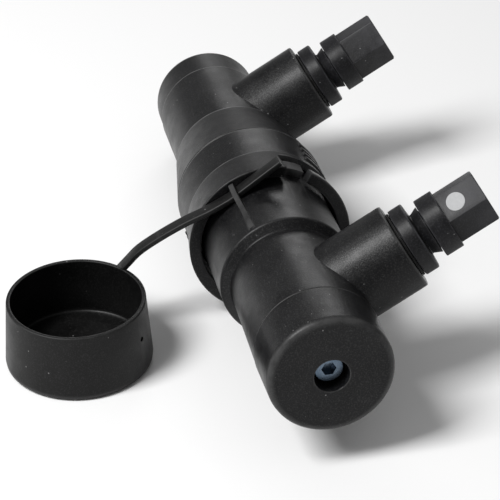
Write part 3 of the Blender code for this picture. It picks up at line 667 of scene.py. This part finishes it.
def make_gland_nut(half):
    """Hexagon with its outer corners turned off, on a round collar."""
    corner = NUT_FLATS / math.sqrt(3)
    corners = [(corner * math.cos(math.radians(30 + 60 * i)), corner * math.sin(math.radians(30 + 60 * i)))
               for i in range(6)]
    nut = prism(half.name + "_gland_nut", corners, COLLAR_END - 2, NUT_END, half.nut)
    soften(nut, 0.35)
    turned_off = [(COLLAR_END - 3, 0), (COLLAR_END - 3, 12), (NUT_END - 0.5, 12), (NUT_END - 0.5, corner),
                  (NUT_END + 0.5, corner - 1.6), (NUT_END + 0.5, 0)]
    combine(nut, lathe("chamfer", turned_off, half.nut, 72), "INTERSECT")
    collar = [(COLLAR_START, 0), (COLLAR_START, COLLAR_RADIUS, 0.4), (COLLAR_END, COLLAR_RADIUS, 0.3),
              (COLLAR_END, 0)]
    combine(nut, lathe("collar", collar, half.nut, 72), "UNION")
    hole = rod([(COLLAR_START - 1, 6.9), (60.0, 6.9), (60.0, 4.2), (61.2, 4.2), (NUT_END + 0.5, 6.0)])
    combine(nut, lathe("nut_hole", hole, half.nut, 72), "DIFFERENCE")
    if half is PLUG:
        make_marker(nut)
    dress(nut, NUT_PLASTIC, half.name + "_gland_nut", body=half.name + "_nut")


def make_marker(nut):
    """Round inlay in the nut's facing flat, with the pocket that it sits in."""
    spot = Matrix.Translation(Vector((NUT_FLATS / 2, 0, 57.3))) @ Matrix.Rotation(math.pi / 2, 4, "Y")
    frame_matrix = PLUG.nut @ spot
    pocket = lathe("pocket", rod([(-0.6, 3.0), (1.0, 3.0)]), frame_matrix, 48)
    combine(nut, pocket, "DIFFERENCE")
    marker = lathe("nut_marker", rod([(-0.4, 2.95), (0.1, 2.95, 0.1)]), frame_matrix, 48)
    dress(marker, INLAY, "nut_marker", body="plug_nut")


def make_contacts():
    pin = rod([(44.3, 2.7), (50.3, 2.7), (50.3, 4.0), (106.8, 4.0, 1.5), (109.0, 1.4, 0.8)])
    dress(lathe("pin", pin, MAIN, 64), BRASS, "plug_contact_pin", body=PLUG.body)


make_plug_housing()
make_socket_housing()
make_ring()
for half in (PLUG, SOCKET):
    make_end_cap(half)
    make_gland_body(half)
    make_gland_nut(half)
make_contacts()

# ------------------------------------------------------------------ dust cap and strap

CAP_BASE = Vector(MOUNTS["cap_base"]["pos_m"])
CAP_FRAME = Matrix.Translation(CAP_BASE) @ Matrix.Scale(MM, 4)
CAP_HEIGHT, CAP_BASE_RADIUS, CAP_RIM_RADIUS = 23.0, 23.8, 22.05
CAP_WALL, CAP_FLOOR = 1.35, 2.5
STRAP_WIDTH, STRAP_THICKNESS = 4.6, 1.8
STRAP_ROUTE = [
    (80.3, -3.0, 30.1), (80.3, 4.2, 25.2), (80.3, 11.5, 20.2), (80.3, 14.3, 18.4), (80.3, 20.6, 15.4),
    (80.9, 28.6, 11.9), (82.0, 36.4, 7.4), (83.0, 42.9, 2.9), (83.7, 46.9, -1.35), (84.2, 50.6, -5.4),
]
STRAP_SPLIT = 6


def make_dust_cap():
    floor_radius = CAP_BASE_RADIUS - CAP_WALL - 0.3
    outline = [
        (0, 0), (0, CAP_BASE_RADIUS - 0.1, 2.0), (CAP_HEIGHT, CAP_RIM_RADIUS, 0.45),
        (CAP_HEIGHT, CAP_RIM_RADIUS - CAP_WALL, 0.35), (CAP_FLOOR, floor_radius, 1.2), (CAP_FLOOR, 0),
    ]
    cap = lathe("dust_cap", outline, CAP_FRAME, 128)
    gate_angle = math.radians(-126)
    gate_spot = Vector((math.cos(gate_angle), math.sin(gate_angle), 0))
    gate_frame = basis(CAP_BASE + (gate_spot * 22.6 + Vector((0, 0, 13.5))) * MM, gate_spot, Vector((0, 0, 1)))
    gate = lathe("gate", rod([(-0.4, 0.85), (1.5, 0.85)]), gate_frame, 24)
    combine(cap, gate, "DIFFERENCE")
    dress(cap, STRAP_RUBBER, "dust_cap", body="cap")


def smooth_path(points, steps):
    """Catmull-Rom curve through the points."""
    knots = [Vector(p) for p in points]
    knots = [2 * knots[0] - knots[1], *knots, 2 * knots[-1] - knots[-2]]
    path = []
    for a, b, c, d in zip(knots, knots[1:], knots[2:], knots[3:]):
        for i in range(steps):
            t = i / steps
            path.append(0.5 * (2 * b + (c - a) * t + (2 * a - 5 * b + 4 * c - d) * t**2
                               + (3 * b - a - 3 * c + d) * t**3))
    path.append(knots[-2])
    return path


def strap_section():
    """Half-width and half-height points of the moulded strap: flat with rounded edges."""
    half_width, half_height, corner = STRAP_WIDTH / 2, STRAP_THICKNESS / 2, 0.45
    points = []
    for turn, (sx, sy) in enumerate(((1, 1), (-1, 1), (-1, -1), (1, -1))):
        for step in range(4):
            angle = math.radians(90 * turn + 30 * step)
            points.append((sx * (half_width - corner) + corner * math.cos(angle),
                           sy * (half_height - corner) + corner * math.sin(angle)))
    return points


def sweep(name, path):
    """A closed strap along the path, flat side square to the path and the main axis."""
    mesh = bpy.data.meshes.new(name)
    work = bmesh.new()
    section = strap_section()
    rings = []
    for i, spot in enumerate(path):
        along = (path[min(i + 1, len(path) - 1)] - path[max(i - 1, 0)]).normalized()
        out = Vector((1, 0, 0)).cross(along).normalized()
        rings.append([work.verts.new(spot + Vector((1, 0, 0)) * x + out * y) for x, y in section])
    for near, far in zip(rings, rings[1:]):
        for i in range(len(section)):
            j = (i + 1) % len(section)
            work.faces.new((near[i], near[j], far[j], far[i]))
    work.faces.new(rings[0])
    work.faces.new(rings[-1])
    bmesh.ops.recalc_face_normals(work, faces=work.faces)
    work.to_mesh(mesh)
    work.free()
    mesh.transform(COUPLER)
    return add(name, mesh)


def make_strap():
    steps = 8
    path = smooth_path(STRAP_ROUTE, steps)
    split = STRAP_SPLIT * steps
    hook_end = sweep("strap_hook_end", path[:split + 1])
    cap_end = sweep("strap_cap_end", path[split:])
    cup = rod([(CAP_FLOOR, CAP_BASE_RADIUS - CAP_WALL - 0.2), (CAP_HEIGHT + 3, CAP_RIM_RADIUS - CAP_WALL - 0.1)])
    combine(cap_end, lathe("cup", cup, CAP_FRAME), "DIFFERENCE")
    dress(hook_end, STRAP_RUBBER, "strap_tail", "cap_strap")
    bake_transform(hook_end)
    dress(cap_end, STRAP_RUBBER, "cap_strap")
    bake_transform(cap_end)


make_dust_cap()
make_strap()

# ------------------------------------------------------------------ pieces kept from the frame

KEPT = {
    RUBBER: ["face_gasket", "nose_seal", "plug_end_seal", "socket_end_seal", "plug_gland_gasket",
             "socket_gland_gasket", "plug_grommet", "socket_grommet"],
    POLYAMIDE: ["plug_thrust_ring", "socket_thrust_ring"],
    INSULATOR: ["plug_contact_carrier", "socket_contact_tower"],
    BRASS: ["socket_contact", "contact_band", "plug_terminal_block", "socket_terminal_block"],
    STEEL: ["ring_clip", "plug_clamp_pad", "socket_clamp_pad", "plug_clamp_screw", "socket_clamp_screw"],
}

for finish, nodes in KEPT.items():
    for node in nodes:
        obj = frame["nodes"][node]
        obj.data.materials.clear()
        obj.data.materials.append(finish)
